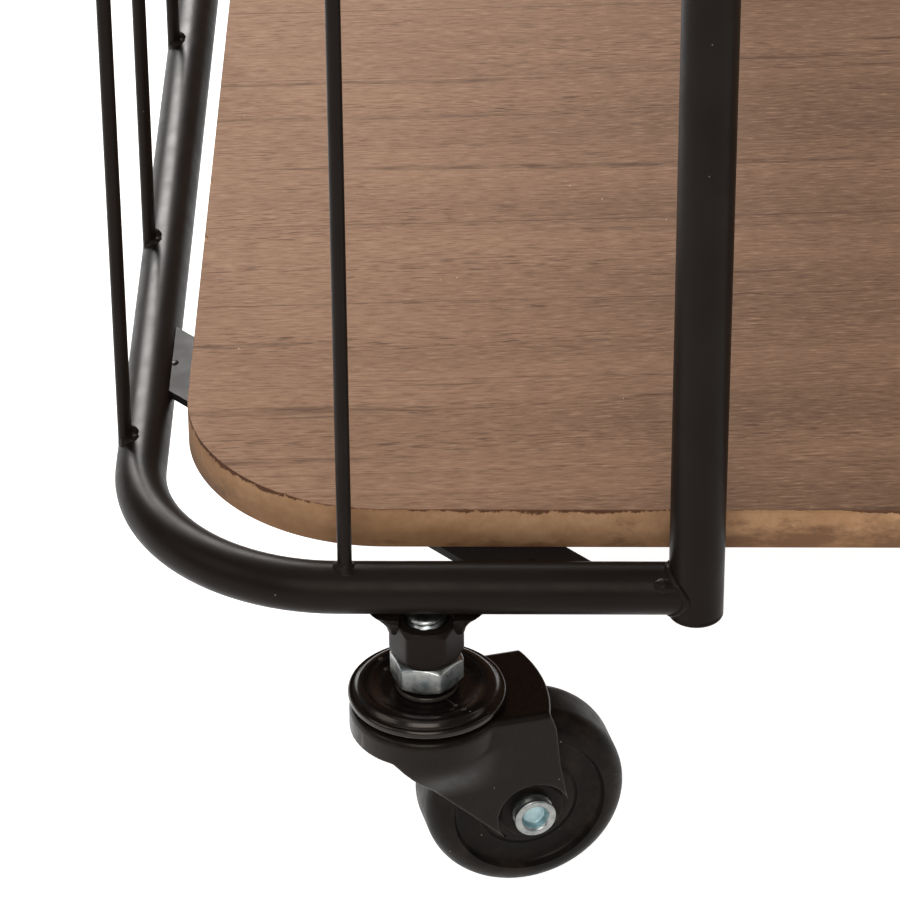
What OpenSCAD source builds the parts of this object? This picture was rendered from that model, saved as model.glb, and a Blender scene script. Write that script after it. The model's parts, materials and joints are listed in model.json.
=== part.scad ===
// Bar cart on wheels: two welded end cages of bent tube and straight wire carry two veneered
// shelves, with a guard rail along the front and the back, on four swivelling stem casters.
// Origin on the floor under the middle of the cart; +X along its length, +Y to the back, +Z up.

/* [Overall] */
// Length over the two end cages
cart_l = 750; // [660:10:900]
// Depth over the end rails
cart_d = 424; // [392:2:480]
// Height from the floor to the top of the top rails
cart_h = 820; // [720:10:900]
// Distance from each end rail's centre line in to its posts
post_inset = 135.2; // [120:0.1:150]
// Height of the middle rails below the top rails
guard_h = 110; // [90:1:150]

/* [Tubes and wires] */
// Outside diameter of the bent rails and the guard rails
rail_d = 12.7; // [10:0.1:16]
// Outside diameter of the posts
post_d = 13.2; // [10:0.1:18]
// Wall thickness of every tube
tube_wall = 1.2; // [0.8:0.1:2]
// Bend radius of the rails on their centre line
bend_r = 50; // [45:1:51]
// Diameter of the upright wires
wire_d = 3.5; // [2:0.1:5]
// How far outside the rail's centre line the side wires stand
side_wire_out = 4.2; // [0:0.1:4.5]
// Distance of the inner pair of side wires from the middle of the end
side_wire_inner = 54; // [40:1:70]
// Distance of the outer pair of side wires from the middle of the end
side_wire_outer = 148.5; // [120:0.5:150]
// Distance from a post to the wire beside it
front_wire_gap = 83.4; // [75:0.1:84]

/* [Shelves and braces] */
// Thickness of a shelf board
shelf_t = 11; // [9:0.5:16]
// Distance of a shelf's edge in from the rail's centre line
shelf_inset = 11.25; // [9:0.25:14]
// Corner radius of a shelf
shelf_corner_r = 50; // [30:1:60]
// Height of a shelf's underside above its rail's centre line
shelf_lift = 3.7; // [3:0.1:5]
// Width of a corner brace
brace_w = 21.4; // [18:0.1:26]
// Thickness of a corner brace
brace_t = 2; // [1.5:0.1:3]
// Sum of a brace's distances from the two rails that it joins, on its middle line
brace_reach = 101; // [95:1:110]
// Distance between the two screws of a brace
screw_pitch = 60; // [40:1:70]

/* [Guard rails] */
// Height of a guard rail's centre line above the top shelf's face
guard_rail_lift = 46; // [35:1:60]
// Thread diameter of the guard rail bolts
bolt_d = 6; // [5:1:6]

/* [Casters] */
// Wheel diameter
wheel_d = 50; // [50:0.1:52]
// Width of the wheel's tread
tread_w = 20; // [16:0.5:21]
// Distance from the swivel axis to the wheel's axle
trail = 23; // [22:0.5:26]
// Distance from a post to the swivel axis beside it
caster_gap = 64.2; // [60:0.1:75]
// Thread diameter of the stem
stem_d = 10; // [8:1:10]
// Distance across the flats of the socket and of the lock nut
hex_af = 16; // [16:1:19]
// Direction that each wheel trails in, degrees from +X: front left, rear left, front right, rear right
headings = [15.5, 6, 11, 3]; // [-180:0.5:180]

/* [Hidden] */
$fn = 48;
ENDS = ["left", "right"];
ROWS = ["front", "rear"];
CASTERS = ["front_left", "rear_left", "front_right", "rear_right"];

steel_black = "#1d1c1e";
zinc = "#c3ccd4";
weld_gap = 0.02;    // pieces that are welded together only meet, so they stay separate solids
run_gap = 0.05;     // radial clearance of a running fit

rail_r = rail_d / 2;
post_r = post_d / 2;
wire_r = wire_d / 2;

// The caster's stack, from the floor up
wheel_r = wheel_d / 2;
plate_t = 2;                            // stamped sheet of the fork
plate_z = wheel_d + 2.8;                // underside of the fork's top plate
plate_top = plate_z + plate_t;
upper_ball_d = 3.5;
cap_under = plate_top + upper_ball_d + 2 * run_gap;
cap_t = 1.6;
cap_top = cap_under + cap_t;            // crest of the race cap's raised ring
cap_r = 19.1;
well_z = cap_top - 1.4;                 // floor of the dish round the stem
shoulder_t = 1.4;
nut_gap = 1.45;
nut_h = 6.8;
nut_z = well_z + shoulder_t + nut_gap;
socket_z = nut_z + nut_h + run_gap;
socket_h = 12.6;
bottom_rail_z = socket_z + socket_h + weld_gap + rail_r;

// Heights and plan positions of the frame
top_rail_z = cart_h - rail_r;
middle_rail_z = top_rail_z - guard_h;
end_x = cart_l / 2 - rail_r;            // centre line of the end rail's side
row_y = cart_d / 2 - rail_r;            // centre line of its front and rear legs, and of the posts
post_x = end_x - post_inset;
caster_x = post_x + caster_gap;
front_wire_x = post_x + front_wire_gap;
side_wire_x = end_x + side_wire_out;
side_wire_ys = [-side_wire_outer, -side_wire_inner, side_wire_inner, side_wire_outer];
shelf_x = end_x - shelf_inset;
shelf_y = row_y - shelf_inset;
guard_rail_z = middle_rail_z + shelf_lift + shelf_t + guard_rail_lift;
post_z = bottom_rail_z - rail_r - 0.8;
post_cap_t = 1.2;

screw_d = 3.5;
screw_head_d = 7.5;
screw_head_h = 2.4;
screw_bite = 8;
bolt_head_d = 10.5;
bolt_head_h = 3.3;
insert_l = 14;                          // threaded plug in each end of a guard rail
bolt_l = 2 * post_r + insert_l - 3;

// Fork and wheel
cheek_in = 12.5;                        // inner face of a cheek, from the wheel's middle plane
cheek_out = cheek_in + plate_t;
skirt_r = 18.9;
skirt_z = plate_top - 7.5;
boss_r = 9;
axle_z = wheel_r;
rivet_r = 3.5;
recess_r = 2.9;                         // recess in each rivet head
rivet_head_r = 5.15;
rivet_head_t = 1.1;
sleeve_r = 5;
hub_half = 11.9;
kingpin_r = 4.5;
head_r = 8.6;
head_t = 2;
lower_ball_d = 2.5;
head_top = plate_z - lower_ball_d - 2 * run_gap;

// Places of the four casters, in the order of CASTERS
caster_xy = [for (sx = [-1, 1]) for (sy = [-1, 1]) [sx * caster_x, sy * row_y]];

// ---- Helpers ----

// The point where a line from p touches a circle round c; side is 1 or -1
function tangent(p, c, r, side) =
    let (d = c - p, l = norm(d), a = atan2(d.y, d.x) + side * asin(r / l))
    p + sqrt(l * l - r * r) * [cos(a), sin(a)];

module tube(r, l, wall) {
    linear_extrude(l) difference() {
        circle(r);
        circle(r - wall);
    }
}

module rod_x(r, x0, x1) {
    translate([x0, 0, 0]) rotate([0, 90, 0]) cylinder(r = r, h = x1 - x0);
}

module rod_y(r, y0, y1) {
    translate([0, y0, 0]) rotate([-90, 0, 0]) cylinder(r = r, h = y1 - y0);
}

// Turned shape about the Y axis, from points [radius, y]
module turned_y(points) {
    rotate([-90, 0, 0]) rotate_extrude() polygon(points);
}

// Copies its children to both rows, the rear one mirrored
module both_rows() {
    for (m = [0, 1]) mirror([0, m, 0]) children();
}

// Hexagon with its corners turned off at both ends, each over its own height
module hex_nut(h, chamfer_low, chamfer_high, hole_r) {
    corner_r = hex_af / sqrt(3);
    face_r = hex_af / 2 - 0.1;
    difference() {
        intersection() {
            cylinder(r = corner_r, h = h, $fn = 6);
            union() {
                cylinder(r1 = face_r, r2 = corner_r, h = chamfer_low);
                translate([0, 0, chamfer_low]) cylinder(r = corner_r, h = h - chamfer_low - chamfer_high);
                translate([0, 0, h - chamfer_high]) cylinder(r1 = corner_r, r2 = face_r, h = chamfer_high);
            }
        }
        translate([0, 0, -1]) cylinder(r = hole_r, h = h + 2);
    }
}

// ---- End cage, drawn for the left end; the right one is its mirror image ----

// Half of a bent rail: half of the side, one bend and one leg that is coped round its post
module half_rail() {
    translate([-end_x, 0, 0]) rotate([90, 0, 0]) tube(rail_r, row_y - bend_r, tube_wall);
    translate([-end_x + bend_r, -row_y + bend_r, 0]) rotate([0, 0, 180]) rotate_extrude(angle = 90)
        translate([bend_r, 0]) difference() {
            circle(rail_r);
            circle(rail_r - tube_wall);
        }
    difference() {
        translate([-end_x + bend_r, -row_y, 0]) rotate([0, 90, 0])
            tube(rail_r, post_inset - bend_r, tube_wall);
        translate([-post_x, -row_y, -rail_d]) cylinder(r = post_r + weld_gap, h = 2 * rail_d);
    }
}

module end_rail(z) {
    color(steel_black) translate([0, 0, z]) both_rows() half_rail();
}

module post(side) {
    color(steel_black) translate([-post_x, side * row_y, 0]) difference() {
        translate([0, 0, post_z + post_cap_t]) tube(post_r, cart_h - post_z - 2 * post_cap_t, tube_wall);
        translate([0, 0, guard_rail_z]) rod_x(bolt_d / 2 + 0.2, -post_d, post_d);
    }
}

// Upright wires between two rails, each end cut to sit on its rail
module wires(z0, z1) {
    color(steel_black) difference() {
        union() {
            for (y = side_wire_ys) translate([-side_wire_x, y, z0]) cylinder(r = wire_r, h = z1 - z0);
            both_rows() translate([-front_wire_x, -row_y, z0]) cylinder(r = wire_r, h = z1 - z0);
        }
        for (z = [z0, z1]) translate([0, 0, z]) {
            translate([-end_x, 0, 0]) rod_y(rail_r + weld_gap, -row_y + bend_r, row_y - bend_r);
            both_rows() translate([0, -row_y, 0]) rod_x(rail_r + weld_gap, -end_x + bend_r - 3, -post_x);
        }
    }
}

// Places children at the two screw holes of the front left brace, at its top face's height
module at_brace_screws(z) {
    translate([-end_x + brace_reach / 2, -row_y + brace_reach / 2, z + shelf_lift]) rotate([0, 0, -45])
        for (s = [-1, 1]) translate([s * screw_pitch / 2, 0, 0]) children();
}

// Flat bar across each corner of the end, under the shelf
module braces(z) {
    color(steel_black) both_rows() difference() {
        intersection() {
            translate([-end_x + brace_reach / 2, -row_y + brace_reach / 2, z + shelf_lift - brace_t])
                rotate([0, 0, -45]) translate([-brace_reach, -brace_w / 2, 0])
                    cube([2 * brace_reach, brace_w, brace_t]);
            translate([-end_x, -row_y, z]) cube([2 * brace_reach, 2 * brace_reach, 2 * shelf_lift]);
        }
        translate([-end_x, 0, z]) rod_y(rail_r + weld_gap, -row_y, 0);
        translate([0, -row_y, z]) rod_x(rail_r + weld_gap, -end_x, 0);
        at_brace_screws(z) translate([0, 0, -2 * brace_t]) cylinder(d = screw_d + 0.6, h = 3 * brace_t);
    }
}

// ---- Shelves and their fasteners ----

module at_all_corners() {
    for (mx = [0, 1]) for (my = [0, 1]) mirror([mx, 0, 0]) mirror([0, my, 0]) children();
}

// Board with round corners, its underside drilled for the brace screws
module shelf(rail_z) {
    r = shelf_corner_r;
    color("#9b7f66") difference() {
        translate([0, 0, rail_z + shelf_lift]) linear_extrude(shelf_t) union() {
            square([2 * shelf_x, 2 * (shelf_y - r)], center = true);
            square([2 * (shelf_x - r), 2 * shelf_y], center = true);
            for (sx = [-1, 1]) for (sy = [-1, 1]) translate([sx * (shelf_x - r), sy * (shelf_y - r)])
                circle(r);
        }
        at_all_corners() at_brace_screws(rail_z) translate([0, 0, -1])
            cylinder(d = screw_d + 2 * weld_gap, h = screw_bite + 2);
    }
}

// Pan head screw from below: its shank rises through the brace into the board
module shelf_screw() {
    translate([0, 0, -brace_t]) cylinder(d = screw_d, h = brace_t + screw_bite);
    translate([0, 0, -brace_t - screw_head_h]) cylinder(d = screw_head_d, h = screw_head_h);
}

module shelf_screws() {
    color(zinc) at_all_corners() for (z = [bottom_rail_z, middle_rail_z]) at_brace_screws(z) shelf_screw();
}

// Closed post end: a disc with a rounded rim and a spigot inside the tube
module post_cap() {
    rotate_extrude() union() {
        square([post_r - post_cap_t, post_cap_t]);
        square([post_r - tube_wall - run_gap, post_cap_t + 6]);
        translate([post_r - post_cap_t, post_cap_t]) intersection() {
            circle(post_cap_t);
            translate([0, -post_cap_t]) square(post_cap_t);
        }
    }
}

module post_caps() {
    color(steel_black) at_all_corners() translate([-post_x, -row_y, 0]) {
        translate([0, 0, post_z]) post_cap();
        translate([0, 0, cart_h]) mirror([0, 0, 1]) post_cap();
    }
}

// Tube from post to post, with a threaded plug in each coped end
module guard_rail(side) {
    color(steel_black) translate([0, side * row_y, guard_rail_z]) difference() {
        rod_x(rail_r, -post_x, post_x);
        rod_x(rail_r - tube_wall, -post_x + post_r + insert_l, post_x - post_r - insert_l);
        rod_x(bolt_d / 2 + run_gap, -post_x, post_x);
        for (s = [-1, 1]) translate([s * post_x, 0, -rail_d])
            cylinder(r = post_r + weld_gap, h = 2 * rail_d);
    }
}

// Button head bolt through a post into the guard rail's plug
module guard_bolt() {
    rod_x(bolt_d / 2, -post_r - 1, bolt_l - post_r);
    difference() {
        rod_x(bolt_head_d / 2, -post_r - bolt_head_h + 1.6, 0);
        translate([0, 0, -rail_d]) cylinder(r = post_r + weld_gap, h = 2 * rail_d);
    }
    translate([-post_r - bolt_head_h, 0, 0]) rotate([0, 90, 0])
        cylinder(d1 = bolt_head_d - 4, d2 = bolt_head_d, h = 1.6);
}

module guard_bolts() {
    color(steel_black) at_all_corners() translate([-post_x, -row_y, guard_rail_z]) guard_bolt();
}

// ---- Caster, drawn with its swivel axis on Z and its wheel trailing towards +X ----

module at_caster(i, turned) {
    translate(caster_xy[i]) rotate([0, 0, turned ? headings[i] : 0]) children();
}

// Long nut under the rail, with a fillet weld on its two ends
module socket(i) {
    fillet = 4.4;
    corner_x = hex_af / sqrt(3) - 1;
    color(steel_black) at_caster(i, false) {
        translate([0, 0, socket_z]) hex_nut(socket_h, 2, 1.2, stem_d / 2 + run_gap);
        difference() {
            for (m = [0, 1]) mirror([m, 0, 0])
                translate([corner_x, 3.5, bottom_rail_z - rail_r - fillet]) rotate([90, 0, 0])
                    linear_extrude(7) polygon([[0, 0], [fillet + 1, fillet + 1.5], [0, fillet + 1.5]]);
            translate([0, 0, bottom_rail_z]) rod_x(rail_r + weld_gap, -3 * hex_af, 3 * hex_af);
        }
    }
}

module lock_nuts() {
    color(zinc) for (i = [0:3]) at_caster(i, false) translate([0, 0, nut_z]) rotate([0, 0, -9])
        hex_nut(nut_h, 0.8, 0.8, stem_d / 2 + run_gap);
}

// Threaded stem, shoulder and kingpin in one turned piece; its peened head holds the fork up
module stem(i) {
    r = stem_d / 2;
    shoulder_r = 7.6;
    stem_top = bottom_rail_z - rail_r - 0.3;
    color(zinc) at_caster(i, false) rotate_extrude() polygon([
        [0, head_top - head_t - 0.8], [kingpin_r, head_top - head_t - 0.8], [head_r, head_top - head_t],
        [head_r, head_top], [kingpin_r, head_top], [kingpin_r, well_z], [shoulder_r, well_z],
        [shoulder_r, well_z + shoulder_t], [r, well_z + shoulder_t], [r, stem_top - 0.9],
        [r - 0.9, stem_top], [0, stem_top]]);
}

// Upper race: a pressed dish with a raised ring, whose rim hangs over the balls
module race_cap(i) {
    bore_r = kingpin_r + run_gap;
    disc_under = well_z - 1.3;
    rim_r = 17.4;
    rim_under = plate_top + 1.5;
    color("#161618") at_caster(i, false) rotate_extrude() polygon([
        [bore_r, disc_under], [10, disc_under], [11.4, cap_under], [rim_r, cap_under],
        [rim_r, rim_under], [cap_r, rim_under], [cap_r, cap_top - 2.2], [18.3, cap_top - 1.5],
        [17.6, cap_top - 1.3], [16.6, cap_top - 0.3], [15.3, cap_top], [13.8, cap_top - 0.3],
        [12.4, cap_top - 1], [11, well_z], [bore_r, well_z]]);
}

module ball_rows(ball_d, ring_r, count, z) {
    color(zinc) for (i = [0:3]) at_caster(i, true) for (k = [0:count - 1])
        rotate([0, 0, k * 360 / count]) translate([ring_r, 0, z]) sphere(d = ball_d);
}

// Side view of a cheek: from the plate down to the round boss at the axle
module cheek_outline() {
    axle = [trail, axle_z];
    front_top = [-12, skirt_z];
    rear_top = [27.1, plate_top];
    rear_knee = [29.6, plate_top - 15.5];
    front_foot = tangent(front_top, axle, boss_r, -1);
    rear_foot = tangent(rear_knee, axle, boss_r, 1);
    polygon([[front_top.x, plate_z], front_top, front_foot, axle, rear_foot, rear_knee,
        [28.6, plate_top - 4.9], rear_top, [front_top.x, plate_top]]);
    translate(axle) circle(boss_r);
}

// Plan of the top plate: a round cup and a tongue whose rear edge bows out
module plate_outline() {
    bow_r = 38.9;
    circle(skirt_r);
    intersection() {
        translate([0, -cheek_out]) square([2 * trail, 2 * cheek_out]);
        translate([29.5 - bow_r, 0]) circle(bow_r);
    }
}

module fork(i) {
    color(steel_black) at_caster(i, true) difference() {
        union() {
            translate([0, 0, plate_z]) linear_extrude(plate_t) plate_outline();
            translate([0, 0, skirt_z]) difference() {
                tube(skirt_r, plate_z - skirt_z + 1, plate_t);
                translate([4, -cheek_in, -1]) cube([2 * skirt_r, 2 * cheek_in, 20]);
            }
            for (y = [-cheek_in, cheek_out]) translate([0, y, 0]) rotate([90, 0, 0])
                linear_extrude(plate_t) cheek_outline();
        }
        translate([0, 0, skirt_z]) cylinder(r = kingpin_r + run_gap, h = 20);
        translate([trail, 0, axle_z]) rod_y(rivet_r + weld_gap, -2 * cheek_out, 2 * cheek_out);
    }
}

module at_axle(i) {
    at_caster(i, true) translate([trail, 0, axle_z]) children();
}

// Spacer that the cheeks are clamped on and the wheel turns on
module axle_sleeve(i) {
    y = cheek_in - weld_gap;
    color(zinc) at_axle(i) turned_y([[rivet_r + weld_gap, -y], [sleeve_r, -y], [sleeve_r, y],
        [rivet_r + weld_gap, y]]);
}

// Rivet with two round heads, each with a drilled recess
module axle_rivet(i) {
    recess = 2.6;
    y0 = cheek_out + weld_gap;
    y1 = y0 + rivet_head_t;
    half = [[rivet_r, y0], [rivet_head_r, y0], [rivet_head_r, y1 - 0.6], [rivet_head_r - 0.3, y1 - 0.2],
        [rivet_head_r - 0.8, y1], [recess_r + 0.6, y1], [recess_r, y1 - 0.6], [recess_r, y1 - recess],
        [0, y1 - recess]];
    mirrored = [for (k = [len(half) - 1:-1:0]) [half[k].x, -half[k].y]];
    color(zinc) at_axle(i) turned_y(concat(half, mirrored));
}

// Solid wheel: round tread, a recess on each face, a raised ring and a hub that runs on the sleeve
module wheel(i) {
    tread_half = tread_w / 2;
    edge = 6;
    rim_r = 18.5;
    ring_r = 11.7;
    ring_half = 9.3;
    hub_r = 8;
    web_half = 5.5;
    color("#19191b") at_axle(i) difference() {
        union() {
            turned_y([[0, -hub_half], [hub_r, -hub_half], [hub_r, -ring_half], [ring_r, -ring_half],
                [ring_r + 0.8, -web_half], [rim_r - 1.5, -web_half], [rim_r, -tread_half],
                [wheel_r - edge, -tread_half], [wheel_r - edge, tread_half], [rim_r, tread_half],
                [rim_r - 1.5, web_half], [ring_r + 0.8, web_half], [ring_r, ring_half],
                [hub_r, ring_half], [hub_r, hub_half], [0, hub_half]]);
            rotate([-90, 0, 0]) rotate_extrude() translate([wheel_r - edge, 0]) intersection() {
                union() {
                    for (s = [-1, 1]) translate([0, s * (tread_half - edge)]) circle(edge);
                    translate([0, -tread_half + edge]) square([edge, 2 * (tread_half - edge)]);
                }
                translate([0, -tread_half]) square([edge, 2 * tread_half]);
            }
        }
        rod_y(sleeve_r + run_gap, -2 * hub_half, 2 * hub_half);
    }
}

// ---- Nodes ----

for (e = [0, 1]) mirror([e, 0, 0]) {
    end_rail(bottom_rail_z);
    end_rail(middle_rail_z);
    end_rail(top_rail_z);
    post(-1);
    post(1);
    wires(bottom_rail_z, middle_rail_z);
    wires(middle_rail_z, top_rail_z);
    braces(bottom_rail_z);
    braces(middle_rail_z);
}
shelf(bottom_rail_z);  // bottom_shelf
shelf(middle_rail_z);  // top_shelf
shelf_screws();
post_caps();
guard_rail(-1);  // front_guard_rail
guard_rail(1);  // rear_guard_rail
guard_bolts();
lock_nuts();  // caster_lock_nuts
ball_rows(upper_ball_d, 14, 18, plate_top + run_gap + upper_ball_d / 2);  // upper_bearing_balls
ball_rows(lower_ball_d, 6.6, 12, plate_z - run_gap - lower_ball_d / 2);  // lower_bearing_balls
for (i = [0:3]) {
    socket(i);
    stem(i);
    race_cap(i);
    fork(i);
    axle_sleeve(i);
    axle_rivet(i);
    wheel(i);
}
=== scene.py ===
"""Looks of the bar cart on wheels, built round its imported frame.

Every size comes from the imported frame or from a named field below, in metres. The cart is two
end cages of bent tube and upright wire, two veneered boards, two guard rails and four casters.
Each of them is a class that builds its own meshes, dresses them and hangs them on their bodies.
"""

from __future__ import annotations

import json
import logging
import math
from dataclasses import dataclass, field
from enum import Enum
from functools import lru_cache
from typing import Any, Callable, Iterable, Sequence

import bmesh
import bpy
from mathutils import Matrix, Vector, noise

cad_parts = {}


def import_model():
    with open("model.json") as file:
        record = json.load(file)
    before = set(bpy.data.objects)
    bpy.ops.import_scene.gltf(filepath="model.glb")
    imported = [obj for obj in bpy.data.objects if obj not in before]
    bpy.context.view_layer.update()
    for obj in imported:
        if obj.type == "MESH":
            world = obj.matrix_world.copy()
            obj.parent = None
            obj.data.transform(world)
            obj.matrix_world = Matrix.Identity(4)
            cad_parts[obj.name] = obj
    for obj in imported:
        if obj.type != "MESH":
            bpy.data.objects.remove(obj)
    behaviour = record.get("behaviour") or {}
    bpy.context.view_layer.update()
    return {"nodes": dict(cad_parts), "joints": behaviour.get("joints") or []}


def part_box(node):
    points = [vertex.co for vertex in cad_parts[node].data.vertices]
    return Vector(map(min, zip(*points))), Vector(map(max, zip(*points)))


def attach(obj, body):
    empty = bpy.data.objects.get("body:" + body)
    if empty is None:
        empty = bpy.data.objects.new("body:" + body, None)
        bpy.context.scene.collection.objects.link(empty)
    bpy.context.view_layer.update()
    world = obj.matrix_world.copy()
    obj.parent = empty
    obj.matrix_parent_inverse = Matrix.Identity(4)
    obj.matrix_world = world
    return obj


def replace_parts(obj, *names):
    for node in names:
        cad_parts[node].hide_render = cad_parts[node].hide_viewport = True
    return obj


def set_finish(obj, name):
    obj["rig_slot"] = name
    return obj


LOG = logging.getLogger("bar_cart")
MM = 0.001
WELD_VOXEL = 0.3 * MM

Profile = list[tuple[float, float]]
Colour = tuple[float, float, float]
Mesh = bmesh.types.BMesh
Piece = bpy.types.Object
Socket = bpy.types.NodeSocket


# ---- Mesh tools ----


def mesh_object(name: str, bm: Mesh, sharp_deg: float = 40.0) -> Piece:
    """Turns a bmesh into a smooth shaded object whose crisp edges stay crisp.

    Args:
        name: Name of the new object.
        bm: The mesh to take over; it is freed here.
        sharp_deg: Edges that bend more than this are shaded as edges.

    Returns:
        The new object, linked to the scene.
    """
    bmesh.ops.recalc_face_normals(bm, faces=bm.faces)
    mesh = bpy.data.meshes.new(name)
    bm.to_mesh(mesh)
    bm.free()
    mesh.shade_smooth()
    mesh.set_sharp_from_angle(angle=math.radians(sharp_deg))
    obj = bpy.data.objects.new(name, mesh)
    bpy.context.scene.collection.objects.link(obj)
    return obj


def placed_copy(source: Piece, name: str, place: Matrix) -> Piece:
    """A copy of source whose mesh is moved to place."""
    copy = bpy.data.objects.new(name, source.data.copy())
    copy.data.transform(place)
    bpy.context.scene.collection.objects.link(copy)
    return copy


def skin_rings(bm: Mesh, rings: Sequence[Sequence[Vector]], closed: bool = False) -> None:
    """Joins equal rings of points into a tube wall and caps its two ends.

    Args:
        bm: The mesh to add to.
        rings: Rings of points, all with the same count.
        closed: Whether the last ring joins the first instead of being capped.
    """
    loops = [[bm.verts.new(p) for p in ring] for ring in rings]
    pairs = list(zip(loops, loops[1:]))
    if closed:
        pairs.append((loops[-1], loops[0]))
    for low, high in pairs:
        count = len(low)
        for k in range(count):
            bm.faces.new((low[k], low[(k + 1) % count], high[(k + 1) % count], high[k]))
    if not closed:
        bm.faces.new(list(reversed(loops[0])))
        bm.faces.new(loops[-1])


def sweep(bm: Mesh, path: Sequence[Vector], radius: float, sides: int = 64) -> None:
    """Sweeps a circle along a path without twisting it.

    Args:
        bm: The mesh to add to.
        path: Points of the centre line.
        radius: Radius of the circle.
        sides: Number of points round the circle.
    """
    last = len(path) - 1
    tangents = [(path[min(i + 1, last)] - path[max(i - 1, 0)]).normalized() for i in range(last + 1)]
    side = tangents[0].orthogonal().normalized()
    rings = []
    for point, tangent in zip(path, tangents):
        side = (side - tangent * side.dot(tangent)).normalized()
        up = tangent.cross(side)
        rings.append([point + radius * (math.cos(a) * side + math.sin(a) * up)
                      for a in (k * math.tau / sides for k in range(sides))])
    skin_rings(bm, rings)


def fillet(profile: Profile, radius: float, steps: int = 5, closed: bool = False) -> Profile:
    """Rounds the corners of a profile with short curves.

    Args:
        profile: The corner points.
        radius: How far from a corner its curve begins, where the edges leave room for it.
        steps: Points on each curve.
        closed: Whether the last point joins the first.

    Returns:
        The rounded profile.
    """
    points = [Vector(p) for p in profile]
    count = len(points)
    out: Profile = []
    for i, corner in enumerate(points):
        if not closed and i in (0, count - 1):
            out.append(tuple(corner))
            continue
        before, after = points[i - 1], points[(i + 1) % count]
        reach = min(radius, 0.45 * (before - corner).length, 0.45 * (after - corner).length)
        start = corner + (before - corner).normalized() * reach
        end = corner + (after - corner).normalized() * reach
        for t in shares(steps):
            out.append(tuple((1 - t) ** 2 * start + 2 * t * (1 - t) * corner + t * t * end))
    return out


def shares(count: int) -> list[float]:
    """Shares from 0 to 1 in count equal steps, both included."""
    return [k / count for k in range(count + 1)]


def in_mm(points: Profile, lift: float = 0.0) -> Profile:
    """A profile given in millimetres, turned to metres and raised by lift."""
    return [(radius * MM, lift + height * MM) for radius, height in points]


def between(start: tuple[float, float], end: tuple[float, float], count: int = 6) -> Profile:
    """Even points from start to end, both included."""
    return [(start[0] + (end[0] - start[0]) * k / count, start[1] + (end[1] - start[1]) * k / count)
            for k in range(count + 1)]


def lathe(bm: Mesh, profile: Profile, steps: int = 128,
          shape: Callable[[float, float, float], float] | None = None) -> None:
    """Turns a closed profile of (radius, height) points round the Z axis.

    Args:
        bm: The mesh to add to.
        profile: Points of the section; the ring closes on itself unless it starts and ends on the axis.
        steps: Number of points round the axis.
        shape: Optional function of (radius, height, angle) that gives the radius to use.
    """
    on_axis = profile[0][0] < 1e-9 and profile[-1][0] < 1e-9
    walls = profile[1:-1] if on_axis else profile
    rings = []
    for radius, height in walls:
        ring = []
        for k in range(steps):
            angle = k * math.tau / steps
            r = shape(radius, height, angle) if shape else radius
            ring.append(Vector((r * math.cos(angle), r * math.sin(angle), height)))
        rings.append(ring)
    skin_rings(bm, rings, closed=not on_axis)


def baked(obj: Piece) -> Piece:
    """Applies an object's modifiers to its mesh."""
    graph = bpy.context.evaluated_depsgraph_get()
    mesh = bpy.data.meshes.new_from_object(obj.evaluated_get(graph))
    obj.modifiers.clear()
    obj.data = mesh
    mesh.shade_smooth()
    return obj


def melted(obj: Piece, voxel: float, smoothing: int, faces_kept: float = 1.0) -> Piece:
    """Melts overlapping solids into one soft edged skin.

    Args:
        obj: Object whose mesh holds the overlapping solids.
        voxel: Size of the grid that the skin is built on.
        smoothing: Number of smoothing passes.
        faces_kept: Share of the faces that stays after thinning.

    Returns:
        The same object with its new mesh.
    """
    remesh = obj.modifiers.new("Melt", "REMESH")
    remesh.mode, remesh.voxel_size = "VOXEL", voxel
    smooth = obj.modifiers.new("Soften", "SMOOTH")
    smooth.factor, smooth.iterations = 0.5, smoothing
    if faces_kept < 1:
        thin = obj.modifiers.new("Thin", "DECIMATE")
        thin.ratio = faces_kept
    return baked(obj)


@dataclass(frozen=True)
class Lump:
    """One drop of weld metal: its middle and its three half sizes."""

    middle: Vector
    size: Vector


def weld_object(name: str, lumps: Iterable[Lump]) -> Piece:
    """Builds weld metal out of lumps that run into each other.

    Args:
        name: Name of the new object.
        lumps: The drops.

    Returns:
        The welds as one object.
    """
    bm = bmesh.new()
    for lump in lumps:
        place = Matrix.Translation(lump.middle) @ Matrix.Diagonal((*lump.size, 1))
        drop = bmesh.ops.create_icosphere(bm, subdivisions=3, radius=1.0)
        for vert in drop["verts"]:
            bumpy = 1 + 0.14 * noise.noise(vert.co * 1.6 + lump.middle * 900)
            vert.co = place @ (vert.co * bumpy)
    return melted(mesh_object(name, bm), voxel=WELD_VOXEL, smoothing=4)


# ---- Finishes ----


WARM: Colour = (1.0, 0.87, 0.76)  # tint of the blacks' sheen


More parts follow.
